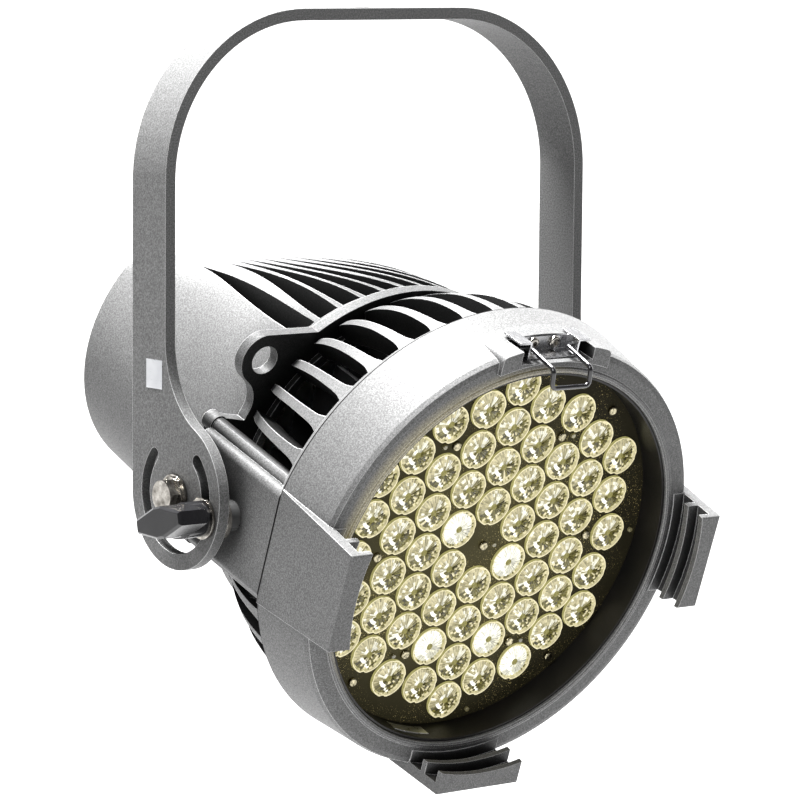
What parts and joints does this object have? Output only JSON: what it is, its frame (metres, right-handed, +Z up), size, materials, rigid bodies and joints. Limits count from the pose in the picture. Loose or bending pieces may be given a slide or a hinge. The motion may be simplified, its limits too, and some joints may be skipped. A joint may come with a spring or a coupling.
{
  "type": "LED par light",
  "caption": "Stage par light: round multi-lens LED head with vented housing, on a bent flat-bar yoke with tilt lock knobs and an accessory latch.",
  "frame": {"origin": "centre of the yoke's hanging hole, at the bar's top face", "axes": "+Z up out of the yoke, -Y towards the side the light shines to, +X along the tilt axis"},
  "size_m": [0.272, 0.2759, 0.3272],
  "materials": {
    "powder_coat": "silver-grey fine-textured powder coat",
    "label": "blank satin foil label",
    "rubber": "matt black sealing strip",
    "zinc": "bright zinc plate",
    "stainless": "satin stainless sheet",
    "black_wire": "black oxide spring wire",
    "black_matt": "matt black",
    "lens": "clear moulded acrylic lit warm from behind",
    "circuit_board": "solder-masked laminate",
    "emitter": "phosphor over the die, lit",
    "nylon": "black nylon",
    "black_screw": "black oxide",
    "heat_sink": "black anodised",
    "panel": "black powder coat",
    "window": "tinted gloss",
    "socket_blue": "moulded, blue",
    "socket_grey": "moulded, grey",
    "black_plastic": "moulded black",
    "component": "moulded and sleeved parts",
    "sheet": "plain sheet",
    "knob": "gloss black moulding",
    "button": "moulded rubberised key"
  },
  "bodies": {
    "yoke": {"yoke_bridge": "powder_coat", "yoke_arm_left": "powder_coat", "yoke_arm_right": "powder_coat", "rating_label": "label"},
    "head": {"front_bezel": "powder_coat", "bezel_gasket": "rubber", "bezel_screws": "zinc", "latch_bracket": "stainless", "latch_screws": "zinc", "lens_plate": "black_matt", "lenses": "lens", "led_board": "circuit_board", "led_emitters": "emitter", "plate_posts": "nylon", "plate_screws": "black_screw", "locating_pins": "nylon", "inner_tube": "black_matt", "tube_label": "label", "heat_sink": "heat_sink", "mid_housing": "powder_coat", "vent_ribs_top": "powder_coat", "vent_ribs_bottom": "powder_coat", "rear_flange": "powder_coat", "rear_housing": "powder_coat", "housing_screws": "zinc", "rear_panel": "panel", "panel_screws": "zinc", "display_window": "window", "display_module": "black_matt", "panel_board": "circuit_board", "power_inlet": "socket_blue", "power_outlet": "socket_grey", "data_inlet": "stainless", "data_outlet": "stainless", "fuse_holder": "black_plastic", "driver_board": "circuit_board", "driver_components": "component", "board_tray": "sheet", "fan_bracket": "sheet", "fan_frame": "black_plastic", "fan_screws": "zinc", "pivot_spacers": "nylon", "lock_spacers": "nylon", "friction_discs": "zinc", "pivot_washers": "zinc", "pivot_bolts": "zinc", "lock_washers": "zinc"},
    "latch": {"latch_wire": "black_wire"},
    "knob_left": {"lock_knob_left": "knob"},
    "knob_right": {"lock_knob_right": "knob"},
    "fan": {"fan_rotor": "black_plastic"},
    "button_1": {"menu_button_1": "button"},
    "button_2": {"menu_button_2": "button"},
    "button_3": {"menu_button_3": "button"},
    "button_4": {"menu_button_4": "button"}
  },
  "joints": [
    {"name": "head_tilt", "type": "hinge", "parent": "yoke", "child": "head", "pos_m": [0, -0.0195, -0.2], "axis": [1, 0, 0], "range_deg": [-64, 204]},
    {"name": "latch_swing", "type": "hinge", "parent": "head", "child": "latch", "pos_m": [0, -0.12385, -0.1355], "axis": [-1, 0, 0], "range_deg": [0, 110]},
    {"name": "knob_left_turn", "type": "hinge", "parent": "head", "child": "knob_left", "pos_m": [-0.113, -0.0398, -0.20739], "axis": [-1, 0, 0], "range_deg": [0, 360]},
    {"name": "knob_right_turn", "type": "hinge", "parent": "head", "child": "knob_right", "pos_m": [0.113, -0.0398, -0.20739], "axis": [1, 0, 0], "range_deg": [0, 360]},
    {"name": "fan_spin", "type": "hinge", "parent": "head", "child": "fan", "pos_m": [0, 0.00784, -0.19005], "axis": [0, 0.9397, 0.342], "continuous": true},
    {"name": "button_1_press", "type": "slide", "parent": "head", "child": "button_1", "axis": [0, -0.9397, -0.342], "range_m": [0, 0.0012], "stiffness_N_per_m": 800, "springref_m": -0.0006},
    {"name": "button_2_press", "type": "slide", "parent": "head", "child": "button_2", "axis": [0, -0.9397, -0.342], "range_m": [0, 0.0012], "stiffness_N_per_m": 800, "springref_m": -0.0006},
    {"name": "button_3_press", "type": "slide", "parent": "head", "child": "button_3", "axis": [0, -0.9397, -0.342], "range_m": [0, 0.0012], "stiffness_N_per_m": 800, "springref_m": -0.0006},
    {"name": "button_4_press", "type": "slide", "parent": "head", "child": "button_4", "axis": [0, -0.9397, -0.342], "range_m": [0, 0.0012], "stiffness_N_per_m": 800, "springref_m": -0.0006}
  ]
}
